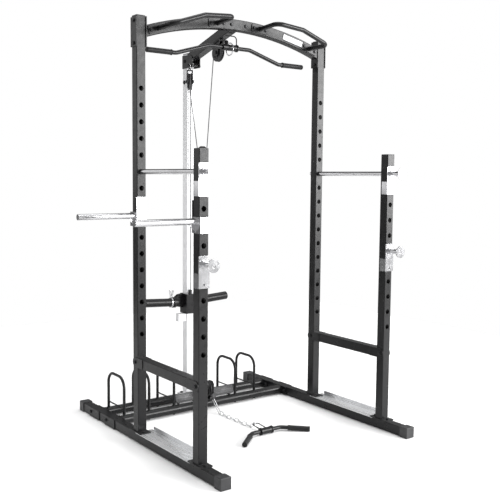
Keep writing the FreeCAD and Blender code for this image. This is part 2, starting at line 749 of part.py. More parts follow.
def low_cable():
    """From the anchor tab over the floating block's lower wheel to the low pulley's front."""
    run_r = SMALL_WHEEL_R - GROOVE
    anchor = V(0, FLOAT_LOWER.y + run_r, CROSS_Z + CROSS_R + 6 + 26)
    rise = rod(anchor, FLOAT_LOWER + V(0, run_r, 0), CABLE_R)
    over = arc_rod(FLOAT_LOWER, AXIS_Y, run_r, 0, 180, CABLE_R)
    fall = rod(FLOAT_LOWER - V(0, run_r, 0), LOW_WHEEL + V(0, run_r, 0), CABLE_R)
    gap = LOW_BALL - LOW_WHEEL
    heading = math.degrees(math.atan2(gap.z, gap.y))
    leave = heading + math.degrees(math.acos(run_r / gap.Length))
    under = arc_rod(LOW_WHEEL, AXIS_Y, run_r, 0, leave, CABLE_R)
    turn = math.radians(leave)
    foot = LOW_WHEEL + V(0, run_r * math.cos(turn), run_r * math.sin(turn))
    out = rod(foot, LOW_BALL, CABLE_R)
    bends = (FLOAT_LOWER + V(0, run_r, 0), FLOAT_LOWER - V(0, run_r, 0),
             LOW_WHEEL + V(0, run_r, 0), foot)
    knuckles = [Part.makeSphere(CABLE_R, point) for point in bends]
    return join([rise, over, fall, under, out] + knuckles).cut(Part.makeSphere(BALL_R, LOW_BALL))


def snap_hook(wire_r=2.6):
    """Long oval hook that hangs from the low stop ball down to the chain."""
    hook = turned(flat_loop(HOOK_HALF, 9.0, wire_r), AXIS_Y, 90)
    return moved(turned(hook, AXIS_X, HOOK_SLOPE), HOOK_CENTRE)


def low_stop_ball():
    towards = (V(0, 197.3, 70.1) - LOW_BALL).normalize()
    lug = rod(LOW_BALL, LOW_BALL + towards * 21, 6.0)
    return join([Part.makeSphere(BALL_R, LOW_BALL), lug]).cut(snap_hook(3.1))


def build_pulleys():
    small = SMALL_WHEEL_R
    bore = AXLE_R + RUN_GAP
    add("front_pulley_block", front_pulley_block())
    add("front_pulley_wheel", wheel(FRONT_WHEEL, WHEEL_R, bore))
    add("rear_pulley_block", rear_pulley_block())
    add("rear_pulley_wheel", wheel(REAR_WHEEL, WHEEL_R, bore, -REAR_SWIVEL))
    add("hanging_link", hanging_link())
    add("float_block", float_block())
    add("float_upper_wheel", wheel(FLOAT_UPPER, WHEEL_R, bore))
    add("float_lower_wheel", wheel(FLOAT_LOWER, small, bore))
    add("low_pulley_block", low_pulley_block())
    add("low_pulley_wheel", wheel(LOW_WHEEL, small, bore))
    axles = [axle(centre, PLATE_OUT) for centre in (FRONT_WHEEL, FLOAT_UPPER, FLOAT_LOWER, LOW_WHEEL)]
    axles.append(axle(REAR_WHEEL, PLATE_OUT, -REAR_SWIVEL))
    add("pulley_axles", *axles)
    add("lat_cable", lat_cable())
    add("lat_cable_end", lat_cable_end())
    add("carriage_cable", carriage_cable())
    add("low_cable", low_cable(), low_stop_ball())


# ---------------------------------------------------------------- lat bar and row bar
def swivel_sleeve(half, bore):
    """Turning sleeve with two rims, along X about the origin."""
    parts = [Part.makeCylinder(SWIVEL_R, 2 * half, V(-half, 0, 0), AXIS_X)]
    for start in (-half, half - 8):
        parts.append(Part.makeCylinder(SWIVEL_RIM_R, 8, V(start, 0, 0), AXIS_X))
    return join(parts).cut(Part.makeCylinder(bore, 2 * half + 2, V(-half - 1, 0, 0), AXIS_X))


def bail(half, height, bend):
    """U-shaped rod standing on a swivel sleeve."""
    points = [V(-half, 0, 0), V(-half, 0, height), V(half, 0, height), V(half, 0, 0)]
    return bent_rod(points, 3.0, bend)


def bar_grip(inner_end, outer_end):
    """Hollow rubber grip with a closed outer end."""
    along = (outer_end - inner_end).normalize()
    whole = rod(inner_end, outer_end, BAR_GRIP_R)
    return whole.cut(rod(inner_end, outer_end - along * 4, BAR_R))


def lat_bar_tube():
    inner, mid, tip = LAT_BENDS
    y = LAT_BAR.y
    end = tip[0] - 4
    points = [V(-end, y, tip[1]), V(-mid[0], y, mid[1]), V(-inner[0], y, inner[1]),
              V(inner[0], y, inner[1]), V(mid[0], y, mid[1]), V(end, y, tip[1])]
    return bent_tube(points, BAR_R, 2.0, BAR_BEND)


def lat_bar_sleeve():
    sleeve = swivel_sleeve(SWIVEL_HALF, BAR_R + RUN_GAP)
    loop = bail(SWIVEL_HALF - 4, 64, 20.0).cut(Part.makeCylinder(
        SWIVEL_R - 1, 2 * SWIVEL_HALF, V(-SWIVEL_HALF, 0, 0), AXIS_X))
    return moved(join([sleeve, loop]), LAT_BAR)


def stop_ball():
    """Rubber stop ball on the cable with the eye that the snap ring runs through."""
    towards = (SNAP_CENTRE - BALL).normalize()
    reach = (SNAP_CENTRE - BALL).Length - SNAP_RING_R + 7
    lug = rod(BALL, BALL + towards * reach, 7.0)
    tunnel = Part.makeTorus(SNAP_RING_R, SNAP_R + 0.5, SNAP_CENTRE, AXIS_X)
    return join([Part.makeSphere(BALL_R, BALL), lug]).cut(tunnel)


def build_lat_bar():
    bends = LAT_BENDS
    y = LAT_BAR.y
    grips = []
    for side in (-1, 1):
        grips.append(bar_grip(V(side * LAT_GRIP_X, y, bends[2][1]),
                              V(side * bends[2][0], y, bends[2][1])))
    add("lat_bar_tube", lat_bar_tube())
    add("lat_bar_sleeve", lat_bar_sleeve())
    add("lat_bar_grips", *grips)
    add("stop_ball", stop_ball())
    add("snap_ring", Part.makeTorus(SNAP_RING_R, SNAP_R, SNAP_CENTRE, AXIS_X))


def build_row_bar():
    dx, dy, dz = ROW_GRIP
    points = []
    for side in (-1, 1):
        bend = ROW_BAR + V(side * ROW_HALF, 0, 0)
        tip = bend + V(side * dx, dy, dz)
        points.append((bend, tip))
    (left_bend, left_tip), (right_bend, right_tip) = points
    shrink = 4.0 / math.sqrt(dx * dx + dy * dy)
    route = [left_tip + (left_bend - left_tip) * shrink, left_bend, right_bend,
             right_tip + (right_bend - right_tip) * shrink]
    grips = []
    for bend, tip in points:
        grips.append(bar_grip(bend + (tip - bend) * 0.26, tip))
    add("row_bar_tube", bent_tube(route, BAR_R, 2.0, 42.0))
    add("row_bar_grips", *grips)
    loop = turned(bail(20, 100, 10.0), AXIS_X, -84)
    loop = loop.cut(Part.makeCylinder(SWIVEL_R - 1, 2 * ROW_SWIVEL_HALF,
                                      V(-ROW_SWIVEL_HALF, 0, 0), AXIS_X))
    sleeve = swivel_sleeve(ROW_SWIVEL_HALF, BAR_R + RUN_GAP)
    add("row_bar_sleeve", moved(join([sleeve, loop]), ROW_BAR))


CHAIN_WIRE_R = 2.2
CHAIN_PITCH = 36.2
CHAIN_LINKS = 8
CHAIN_START = V(1.0, 118.0, 8.9)
CHAIN_TURN = 1.2
HOOK_CENTRE = V(0, 167, 41)         # long snap hook at the low cable's end
HOOK_HALF = 51.0
HOOK_SLOPE = 43.8
END_RING = (24.75, 7.5, 2.6)        # half length, end radius and wire radius
END_RING_LEAN = -75.0
END_RING_SLOPE = -35.7
END_RING_AT = (35.8, 20.7)          # its middle: forward of the last link, and height
FIRST_LINK_SLOPE = 12.0             # the hook lifts the first link a little
FIRST_LINK_LIFT = V(0, -0.45, 2.3)


def flat_loop(half_length, end_radius, wire_r):
    """Oval ring lying in the XY plane with its length along Y."""
    points = [V(-end_radius, -half_length, 0), V(end_radius, -half_length, 0),
              V(end_radius, half_length, 0), V(-end_radius, half_length, 0)]
    return closed_rod(points, wire_r, end_radius * 0.999)


def floor_chain():
    """Snap hook, a row of links turned alternately, and the end ring at the row bar's bail."""
    links = []
    for i in range(CHAIN_LINKS):
        link = flat_loop(20.5, 9.0, CHAIN_WIRE_R)
        link = turned(link, AXIS_Y, 45 if i % 2 else -45)
        at = CHAIN_START + V(0, -i * CHAIN_PITCH, 0)
        if i == 0:
            link = turned(link, AXIS_X, FIRST_LINK_SLOPE)
            at = at + FIRST_LINK_LIFT
        links.append(moved(link, at))
    last_y = CHAIN_START.y - (CHAIN_LINKS - 1) * CHAIN_PITCH
    ring = turned(turned(flat_loop(*END_RING), AXIS_Y, END_RING_LEAN), AXIS_X, END_RING_SLOPE)
    ring = moved(ring, V(CHAIN_START.x, last_y - END_RING_AT[0], END_RING_AT[1]))
    laid = [turned(piece, AXIS_Z, CHAIN_TURN, CHAIN_START) for piece in links + [ring]]
    return laid + [snap_hook()]


# ---------------------------------------------------------------- carriage
def sleeve_point(side, x, lift=0.0):
    tilt = math.radians(SLEEVE_TILT)
    root_x, root_z = SLEEVE_ROOT
    z = root_z + (x - root_x) * math.tan(tilt) + lift
    return V(side * x, SLEEVE_Y, z)


def carriage():
    z0, z1 = CARRIAGE_Z
    hx, hy, wall = CARRIAGE_HALF_X, CARRIAGE_HALF_Y, CARRIAGE_WALL
    parts = [box(-hx, hx, COLUMN_Y - hy, COLUMN_Y + hy, z0, z1)]
    for side in (-1, 1):
        outline = [(side * (hx - 1), z1 - 2), (side * 62, z1 - 6), (side * 84, z1 - 22),
                   (side * 84, z0 + 44), (side * (hx - 1), z0 + 34)]
        parts.append(plate_xz(outline, SLEEVE_Y - 15, SLEEVE_Y + 15))
        parts.append(rod(sleeve_point(side, 70), sleeve_point(side, NECK_END_X), NECK_R))
        parts.append(rod(sleeve_point(side, 70), sleeve_point(side, SLEEVE_TIP_X), SLEEVE_R))
        parts.append(rod(sleeve_point(side, COLLAR_X[0]), sleeve_point(side, COLLAR_X[1]),
                         COLLAR_R))
    lug_at = REAR_WHEEL + swivel_direction() * (WHEEL_R - GROOVE)
    front = COLUMN_Y - HALF_TUBE
    lug = box(lug_at.x - 8, lug_at.x + 8, COLUMN_Y - hy - 3, front - 3, z1 - 4, z1 + 26)
    solid = join(parts + [lug])
    shaft = box(-hx + wall, hx - wall, COLUMN_Y - hy + wall, COLUMN_Y + hy - wall, z0 - 1, z1 + 1)
    solid = solid.cut(shaft)
    for side in (-1, 1):
        bore = rod(sleeve_point(side, COLLAR_X[0]), sleeve_point(side, SLEEVE_TIP_X - SLEEVE_WALL),
                   SLEEVE_R - SLEEVE_WALL)
        solid = solid.cut(bore)
    return solid


def carriage_bushings():
    z0, z1 = CARRIAGE_Z
    ox = CARRIAGE_HALF_X - CARRIAGE_WALL
    oy = CARRIAGE_HALF_Y - CARRIAGE_WALL
    inner = HALF_TUBE + SLIDE_GAP
    rings = []
    for low in (z0 + 2, z1 - BUSH_HEIGHT - 6):
        ring = box(-ox, ox, COLUMN_Y - oy, COLUMN_Y + oy, low, low + BUSH_HEIGHT)
        rings.append(ring.cut(box(-inner, inner, COLUMN_Y - inner, COLUMN_Y + inner,
                                  low - 1, low + BUSH_HEIGHT + 1)))
    return rings


def jointed_wire(points, radius):
    """Straight runs of wire with a round knuckle at every point."""
    runs = [rod(start, end, radius) for start, end in zip(points, points[1:])]
    return runs + [Part.makeSphere(radius, point) for point in points]


def spring_clip(side):
    """Two turns of wire round the weight sleeve with a pair of squeeze handles."""
    tilt = side * SLEEVE_TILT
    radius = NECK_R + CLIP_GAP + CLIP_WIRE_R
    turns = moved(turned(Part.makeCylinder(radius + CLIP_WIRE_R, CLIP_LENGTH), AXIS_Y, 90),
                  V(-CLIP_LENGTH / 2, 0, 0))
    bore = rod(V(-CLIP_LENGTH, 0, 0), V(CLIP_LENGTH, 0, 0), NECK_R + CLIP_GAP)
    groove = Part.makeTorus(radius + CLIP_WIRE_R, CLIP_WIRE_R / 2, V(0, 0, 0), AXIS_X)
    parts = [turns.cut(bore).cut(groove)]
    for heading in (-1, 1):
        base = V(heading * CLIP_WIRE_R, 0, radius)
        top = base + V(heading * CLIP_LEAN, 0, CLIP_HANDLE)
        across = V(0, CLIP_HALF_WIDTH, 0)
        parts += jointed_wire([base - across, top - across, top + across, base + across],
                              CLIP_WIRE_R)
    clip = turned(join(parts), AXIS_Y, -tilt)
    return moved(clip, sleeve_point(side, CLIP_AT))


def carriage_stop():
    block = box(-STOP_HALF_X, STOP_HALF_X, COLUMN_Y - STOP_HALF_Y, COLUMN_Y + STOP_HALF_Y,
                STOP_TOP - STOP_HEIGHT, STOP_TOP)
    block = block.makeFillet(3, [e for e in block.Edges if abs(e.Length - STOP_HEIGHT) < 1e-6])
    room = box(-HALF_TUBE, HALF_TUBE, COLUMN_Y - HALF_TUBE, COLUMN_Y + HALF_TUBE, 0, 1000)
    return block.cut(room).Solids


def build_carriage():
    add("carriage", carriage())
    add("carriage_bushings", *carriage_bushings())
    add("left_sleeve_clip", spring_clip(-1))
    add("right_sleeve_clip", spring_clip(1))
    add("carriage_stops", *carriage_stop())


# ---------------------------------------------------------------- loose fittings on the uprights
def peg_bracket(peg_z, side_top, reach):
    """U-shaped plate round an upright's face at the origin: peg plate in front, two side plates."""
    gap = HALF_TUBE + PLATE_GAP
    out = gap + HOOK_T
    low = peg_z - HOOK_BELOW
    front = box(-out, out, -out, -gap, low, peg_z + HOOK_ABOVE)
    front = front.makeFillet(6, [e for e in front.Edges if abs(e.Length - HOOK_T) < 1e-6
                                 and e.CenterOfMass.z > peg_z])
    parts = [front]
    for side in (-1, 1):
        x = sorted((side * gap, side * out))
        parts.append(box(x[0], x[1], -out, reach, low, peg_z + side_top))
    return parts, out


def bar_hook(x, index):
    """Bar catch: bracket, peg into the upright, and the outer peg with its stop disc."""
    z = hole_z(index)
    parts, out = peg_bracket(z, HOOK_SIDE_TOP, 12.0)
    tip = -out - HOOK_REACH
    inner_end = -HALF_TUBE + 12
    parts.append(rod(V(0, tip, z), V(0, inner_end, z), ROD_R))
    parts.append(rod(V(0, -out - 8, z), V(0, -out, z), 19.0))
    parts.append(rod(V(0, tip, z), V(0, tip + 6, z), HOOK_DISC_R))
    hook = join(parts).cut(rod(V(0, -TUBE, z - 93), V(0, 0, z - 93), 4.0))
    hook = hook.cut(rod(V(0, tip - 1, z), V(0, tip + 2, z), ROD_R - 3))
    return moved(hook, V(x, -DEPTH, 0))


def dip_bar(y, facing):
    """Dip handle pointing out to the left; facing is the side of its tall peg plate (-1 front)."""
    z = hole_z(DIP_HOLE)
    gap = HALF_TUBE + PLATE_GAP
    out = gap + HOOK_T
    far = HALF_TUBE + DIP_SLACK
    low = z - HOOK_BELOW
    top = z - 37
    tall = box(-out, HALF_TUBE, -out, -gap, low, z + HOOK_ABOVE)
    web = box(-out, -gap, -out, far + HOOK_T, low, top)
    short = box(-out, HALF_TUBE, far, far + HOOK_T, low, top)
    peg = rod(V(0, -out - 6, z), V(0, -HALF_TUBE + 9, z), ROD_R)
    bar_z = z - DIP_DROP
    start = V(-out, 0, bar_z)
    bar = rod(start, start - V(DIP_LENGTH, 0, 0), DIP_R)
    bore = rod(start - V(2, 0, 0), start - V(DIP_LENGTH - DIP_WALL, 0, 0), DIP_R - DIP_WALL)
    gusset = plate_xz([(-out, bar_z - 12), (-out - 34, bar_z - 12), (-out, low + 6)], -3, 3)
    handle = join([tall, web, short, peg, bar, gusset]).cut(bore)
    if facing > 0:
        handle = handle.mirror(V(0, 0, 0), AXIS_Y)
    return moved(handle, V(-HALF_WIDTH, y, 0))


def safety_rod(x):
    bar = rod(V(x, ROD_Y[0], ROD_Z), V(x, ROD_Y[1], ROD_Z), ROD_R)
    collar = rod(V(x, ROD_COLLAR_Y[0], ROD_Z), V(x, ROD_COLLAR_Y[1], ROD_Z), ROD_COLLAR_R)
    return join([bar, collar])


def build_loose_fittings():
    add("left_safety_rod", safety_rod(-HALF_WIDTH))
    add("right_safety_rod", safety_rod(HALF_WIDTH))
    for side, x in (("left", -HALF_WIDTH), ("right", HALF_WIDTH)):
        for level, index in zip(("upper", "lower"), HOOK_HOLES):
            add("%s_%s_bar_hook" % (side, level), bar_hook(x, index))
    add("rear_dip_bar", dip_bar(0, -1))
    add("front_dip_bar", dip_bar(-DEPTH, 1))


# ---------------------------------------------------------------- fasteners
def frame_bolts():
    heads = []
    foot_z = UPRIGHT_Z
    for x in (-HALF_WIDTH, HALF_WIDTH):
        side = 1 if x > 0 else -1
        for y in (0, -DEPTH):
            for bolt_y in (-FOOT_BOLT_Y, FOOT_BOLT_Y):
                heads.append(hex_head(V(x, y + bolt_y, foot_z), AXIS_Z))
            for face in (-1, 1):
                at = V(x + face * (HALF_TUBE + BRACE_TAB_T), y, BRACE_Z)
                heads.append(hex_head(at, AXIS_X * face))
        for y in (CROSS_FRONT_Y, CROSS_REAR_Y):
            outer = V(x + side * (HALF_TUBE + OUTER_PLATE_T), y + CROSS_BOLT_Y, CROSS_Z)
            heads.append(hex_head(outer, AXIS_X * side))
            for bolt_y in (-CROSS_BOLT_Y, CROSS_BOLT_Y):
                inner = V(x - side * (HALF_TUBE + CROSS_FLANGE_T), y + bolt_y, CROSS_Z)
                heads.append(hex_head(inner, -AXIS_X * side))
        for z in BEAM_BOLT_Z:
            outer = V(x + side * (HALF_TUBE + SIDE_PLATE_T), 0, z)
            heads.append(hex_head(outer, AXIS_X * side))
        low = V(x - side * (HALF_TUBE + BEAM_PLATE_T), 0, BEAM_BOLT_Z[0])
        heads.append(hex_head(low, -AXIS_X * side))
    face_y = -HALF_TUBE - GRIP_PLATE_T
    for arm_x in GRIP_ARM_X:
        for offset in (-40, 40):
            at = beam_point(arm_x + offset, face_y, BEAM_HEIGHT / 2)
            heads.append(hex_head(at, -AXIS_Y))
            heads.append(hex_head(V(-at.x, at.y, at.z), -AXIS_Y))
    for x in (-47, 47):
        heads.append(hex_head(V(x, BOOM_START[0] + BOOM_PLATE_T, 2198), AXIS_Y))
        heads.append(hex_head(V(x, -HALF_TUBE, 2196), -AXIS_Y))
        heads.append(hex_head(V(x, COLUMN_Y, 60), AXIS_Z))
    heads.append(hex_head(V(-HALF_TUBE, COLUMN_Y + 6, 1938), -AXIS_X))
    reach = HALF_TUBE + CHEEK_T
    for side in (-1, 1):
        heads.append(hex_head(V(side * reach, COLUMN_Y, 2060), AXIS_X * side))
    return heads


def beam_side_plates():
    plates = []
    for side in (-1, 1):
        x = sorted((side * (HALF_WIDTH + HALF_TUBE), side * (HALF_WIDTH + HALF_TUBE + SIDE_PLATE_T)))
        plate = box(x[0], x[1], -BEAM_PLATE_HALF_Y, BEAM_PLATE_HALF_Y,
                    BEAM_PLATE_Z[0], BEAM_PLATE_Z[1] - 4)
        plates.append(plate)
    return plates


def build_all():
    build_side_frames()
    add("floor_trays", floor_tray(-HALF_WIDTH), floor_tray(HALF_WIDTH))
    build_beam()
    add("beam_side_plates", *beam_side_plates())
    build_tower()
    build_pulleys()
    build_lat_bar()
    build_row_bar()
    add("floor_chain", *floor_chain())
    build_carriage()
    build_loose_fittings()
    add("frame_bolts", hang_bolt(), *frame_bolts())


build_all()
os.makedirs("parts", exist_ok=True)
for name, shape in PIECES.items():
    moved(shape, ORIGIN_SHIFT).exportStep("parts/" + name + ".step")
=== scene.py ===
"""Looks of the power cage: materials, detailed pieces, camera and studio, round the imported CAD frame.

Metres, in the CAD frame: X to the right, Y from the open front to the lat tower, Z up.
"""

import json
import math

import bmesh
import bpy
from mathutils import Matrix, Vector


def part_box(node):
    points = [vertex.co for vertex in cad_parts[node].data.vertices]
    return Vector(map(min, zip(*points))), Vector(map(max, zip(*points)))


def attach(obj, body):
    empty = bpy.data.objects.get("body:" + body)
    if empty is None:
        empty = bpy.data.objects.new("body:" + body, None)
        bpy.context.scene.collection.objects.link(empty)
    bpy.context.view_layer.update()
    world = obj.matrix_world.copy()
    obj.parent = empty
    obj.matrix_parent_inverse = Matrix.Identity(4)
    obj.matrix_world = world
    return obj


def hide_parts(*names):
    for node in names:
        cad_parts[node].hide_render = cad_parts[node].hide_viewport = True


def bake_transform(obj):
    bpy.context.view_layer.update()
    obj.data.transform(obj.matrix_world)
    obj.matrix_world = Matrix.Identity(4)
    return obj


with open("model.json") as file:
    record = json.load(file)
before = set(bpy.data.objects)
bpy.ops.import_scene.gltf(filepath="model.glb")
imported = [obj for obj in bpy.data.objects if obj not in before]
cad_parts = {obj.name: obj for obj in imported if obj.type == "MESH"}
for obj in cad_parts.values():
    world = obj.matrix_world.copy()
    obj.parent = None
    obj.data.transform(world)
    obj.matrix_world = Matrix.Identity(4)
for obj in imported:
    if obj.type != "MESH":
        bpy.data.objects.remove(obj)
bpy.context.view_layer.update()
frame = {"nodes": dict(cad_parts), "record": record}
NODES = frame["nodes"]
MM = 0.001


# ---------------------------------------------------------------- camera and studio
CAMERA_AT = Vector((-2.37185, -3.42309, 1.38007))
CAMERA_YAW = 0.6296         # radians from +Y towards +X
CAMERA_PITCH = -0.0897
CAMERA_ROLL = 0.0076
CAMERA_LENS = 55.597
CAMERA_SHIFT = (0.02449, -0.00715)


def make_camera():
    data = bpy.data.cameras.new("camera")
    data.lens = CAMERA_LENS
    data.sensor_width = 36.0
    data.shift_x, data.shift_y = CAMERA_SHIFT
    data.clip_end = 60.0
    camera = bpy.data.objects.new("camera", data)
    bpy.context.scene.collection.objects.link(camera)
    forward = Vector((math.sin(CAMERA_YAW) * math.cos(CAMERA_PITCH),
                      math.cos(CAMERA_YAW) * math.cos(CAMERA_PITCH),
                      math.sin(CAMERA_PITCH)))
    level = Vector((math.cos(CAMERA_YAW), -math.sin(CAMERA_YAW), 0.0))
    up = level.cross(forward)
    right = level * math.cos(CAMERA_ROLL) + up * math.sin(CAMERA_ROLL)
    up = up * math.cos(CAMERA_ROLL) - level * math.sin(CAMERA_ROLL)
    turn = Matrix((right, up, -forward)).transposed()
    camera.matrix_world = Matrix.Translation(CAMERA_AT) @ turn.to_4x4()
    bpy.context.scene.camera = camera


def softbox(name, at, target, size, power):
    data = bpy.data.lights.new(name, "AREA")
    data.shape = "RECTANGLE"
    data.size, data.size_y = size
    data.energy = power
    light = bpy.data.objects.new(name, data)
    bpy.context.scene.collection.objects.link(light)
    light.location = at
    light.rotation_euler = (Vector(target) - Vector(at)).to_track_quat("-Z", "Y").to_euler()


BRIGHT_SIDE = (0.50, -0.85, 0.25)   # where the studio's wrap-round screen is brightest
SCREEN_DARK = 0.22
SCREEN_BRIGHT = 0.90
SCREEN_FADE = (-0.50, 0.60)         # cosines to the bright side between which the screen fades


def make_screen():
    """White backdrop to the camera; to everything else a screen that darkens away from the front."""
    world = bpy.data.worlds.new("studio")
    bpy.context.scene.world = world
    world.use_nodes = True
    tree = world.node_tree
    node = tree.nodes.new
    facing = node("ShaderNodeVectorMath")
    facing.operation = "DOT_PRODUCT"
    facing.inputs[1].default_value = Vector(BRIGHT_SIDE).normalized()
    tree.links.new(node("ShaderNodeTexCoord").outputs["Generated"], facing.inputs[0])
    fade = node("ShaderNodeMapRange")
    fade.interpolation_type = "SMOOTHSTEP"
    fade.inputs["From Min"].default_value, fade.inputs["From Max"].default_value = SCREEN_FADE
    fade.inputs["To Min"].default_value = SCREEN_DARK
    fade.inputs["To Max"].default_value = SCREEN_BRIGHT
    tree.links.new(facing.outputs["Value"], fade.inputs["Value"])
    backdrop = node("ShaderNodeMix")
    backdrop.inputs["B"].default_value = 1.0
    tree.links.new(node("ShaderNodeLightPath").outputs["Is Camera Ray"], backdrop.inputs["Factor"])
    tree.links.new(fade.outputs["Result"], backdrop.inputs["A"])
    tree.links.new(backdrop.outputs["Result"], tree.nodes["Background"].inputs["Color"])


def overcast(strength, angle):
    """Wide soft light from straight above, even over the whole floor."""
    data = bpy.data.lights.new("overcast", "SUN")
    data.energy = strength
    data.angle = math.radians(angle)
    light = bpy.data.objects.new("overcast", data)
    bpy.context.scene.collection.objects.link(light)


def make_studio():
    make_screen()
    softbox("front_right_box", (4.2, -4.9, 2.3), (0.1, 0.0, 1.3), (4.4, 3.0), 700.0)
    softbox("back_left_box", (-4.0, 4.9, 2.9), (-0.2, 0.0, 1.4), (4.6, 3.6), 60.0)
    overcast(2.3, 60.0)
    bpy.context.scene.view_settings.view_transform = "Standard"


FLOOR_HALF = 3.4            # small, so that the paint and chrome mirror the screen and not the floor
FLOOR_COLOUR = (0.78, 0.78, 0.78, 1.0)
FLOOR_ROUGHNESS = 0.75


def make_floor():
    mesh = bpy.data.meshes.new("studio_floor")
    build = bmesh.new()
    bmesh.ops.create_grid(build, x_segments=1, y_segments=1, size=FLOOR_HALF)
    build.to_mesh(mesh)
    build.free()
    floor = bpy.data.objects.new("studio_floor", mesh)
    bpy.context.scene.collection.objects.link(floor)
    material = bpy.data.materials.new("studio_floor")
    material.use_nodes = True
    shader = material.node_tree.nodes["Principled BSDF"]
    shader.inputs["Base Color"].default_value = FLOOR_COLOUR
    shader.inputs["Roughness"].default_value = FLOOR_ROUGHNESS
    mesh.materials.append(material)


# ---------------------------------------------------------------- materials
class Shade:
    """One procedural material: a Principled shader with helpers that add its texture nodes."""

    def __init__(self, name):
        self.material = bpy.data.materials.new(name)
        self.material.use_nodes = True
        self.tree = self.material.node_tree
        self.shader = self.tree.nodes["Principled BSDF"]
        self.place = self.tree.nodes.new("ShaderNodeTexCoord").outputs["Object"]

    def set(self, **values):
        for key, value in values.items():
            socket = self.shader.inputs[key.replace("_", " ")]
            socket.default_value = value

    def link(self, source, target):
        self.tree.links.new(source, target)

    def stretched(self, scale):
        node = self.tree.nodes.new("ShaderNodeMapping")
        node.inputs["Scale"].default_value = scale
        self.link(self.place, node.inputs["Vector"])
        return node.outputs["Vector"]

    def noise(self, scale, detail=3.0, rough=0.5, stretch=None):
        node = self.tree.nodes.new("ShaderNodeTexNoise")
        node.inputs["Scale"].default_value = scale
        node.inputs["Detail"].default_value = detail
        node.inputs["Roughness"].default_value = rough
        self.link(self.stretched(stretch) if stretch else self.place, node.inputs["Vector"])
        return node.outputs["Fac"]

    def cells(self, scale):
        node = self.tree.nodes.new("ShaderNodeTexVoronoi")
        node.inputs["Scale"].default_value = scale
        self.link(self.place, node.inputs["Vector"])
        return node.outputs["Distance"]

    def diagonal_waves(self, scale, distortion):
        node = self.tree.nodes.new("ShaderNodeTexWave")
        node.bands_direction = "DIAGONAL"
        node.inputs["Scale"].default_value = scale
        node.inputs["Distortion"].default_value = distortion
        self.link(self.place, node.inputs["Vector"])
        return node.outputs["Fac"]

    def ramp(self, source, low, high, at=(0.3, 0.7)):
        node = self.tree.nodes.new("ShaderNodeValToRGB")
        for stop, place, tone in zip(node.color_ramp.elements, at, (low, high)):
            stop.position = place
            stop.color = (*tone, 1.0) if isinstance(tone, tuple) else (tone, tone, tone, 1.0)
        self.link(source, node.inputs["Fac"])
        return node.outputs["Color"]

    def colour(self, source, low, high, at=(0.3, 0.7)):
        self.link(self.ramp(source, low, high, at), self.shader.inputs["Base Color"])

    def roughness(self, source, low, high, at=(0.3, 0.7)):
        self.link(self.ramp(source, low, high, at), self.shader.inputs["Roughness"])

    def bump(self, *layers, edge=None):
        """Adds bump layers (source, strength, distance); edge is the radius of a rounded-edge look."""
        normal = None
        if edge:
            bevel = self.tree.nodes.new("ShaderNodeBevel")
            bevel.samples = 4
            bevel.inputs["Radius"].default_value = edge
            normal = bevel.outputs["Normal"]
        for source, strength, distance in layers:
            node = self.tree.nodes.new("ShaderNodeBump")
            node.inputs["Strength"].default_value = strength
            node.inputs["Distance"].default_value = distance
            self.link(source, node.inputs["Height"])
            if normal:
                self.link(normal, node.inputs["Normal"])
            normal = node.outputs["Normal"]
        self.link(normal, self.shader.inputs["Normal"])


def powder_coat():
    shade = Shade("black_powder_coat")
    shade.set(Specular_IOR_Level=0.25)
    shade.colour(shade.noise(3.0, 4.0), (0.004, 0.004, 0.0045), (0.009, 0.009, 0.0095))
    shade.roughness(shade.noise(40.0, 5.0), 0.26, 0.36)
    grain = (shade.noise(900.0, 2.0), 0.35, 0.00025)
    orange_peel = (shade.noise(160.0, 2.0), 0.12, 0.0005)
    shade.bump(grain, orange_peel, edge=0.0012)
    return shade.material


def chrome():
    shade = Shade("chrome")
    shade.set(Metallic=1.0)
    shade.colour(shade.noise(6.0, 3.0), (0.46, 0.46, 0.47), (0.56, 0.56, 0.57))
    shade.roughness(shade.noise(30.0, 6.0, 0.7), 0.10, 0.20)
    shade.bump((shade.noise(500.0, 3.0), 0.05, 0.0001), edge=0.0008)
    return shade.material


def column_plate():
    shade = Shade("column_finish")
    shade.set(Metallic=0.0, Specular_IOR_Level=0.1)
    clouding = shade.noise(2.5, 3.0, stretch=(1.0, 1.0, 0.25))
    shade.colour(clouding, (0.68, 0.69, 0.70), (0.84, 0.84, 0.85))
    shade.roughness(shade.noise(60.0, 5.0, stretch=(1.0, 1.0, 0.04)), 0.26, 0.40)
    shade.bump((shade.noise(900.0, 3.0, stretch=(1.0, 1.0, 0.02)), 0.10, 0.0001), edge=0.0012)
    return shade.material


def tray_steel():
    shade = Shade("tray_steel")
    shade.set(Metallic=0.75)
    shade.colour(shade.noise(8.0, 4.0), (0.66, 0.67, 0.68), (0.80, 0.80, 0.81))
    shade.roughness(shade.noise(70.0, 5.0, stretch=(1.0, 0.04, 1.0)), 0.20, 0.36)
    shade.bump((shade.noise(1200.0, 3.0, stretch=(1.0, 0.02, 1.0)), 0.05, 0.0001), edge=0.0008)
    return shade.material


def tread_steel():
    shade = Shade("tread_plate")
    shade.set(Metallic=0.35)
    shade.colour(shade.cells(260.0), (0.006, 0.006, 0.007), (0.05, 0.05, 0.052), at=(0.35, 0.75))
    shade.roughness(shade.noise(60.0, 4.0), 0.32, 0.5)
    shade.bump((shade.noise(420.0, 3.0), 0.4, 0.0004), edge=0.0008)
    return shade.material


def black_plastic():
    shade = Shade("black_plastic")
    shade.colour(shade.noise(20.0, 3.0), (0.014, 0.014, 0.015), (0.026, 0.026, 0.028))
    shade.roughness(shade.noise(50.0, 4.0), 0.42, 0.58)
    shade.bump((shade.cells(520.0), 0.25, 0.0003), edge=0.0015)
    return shade.material


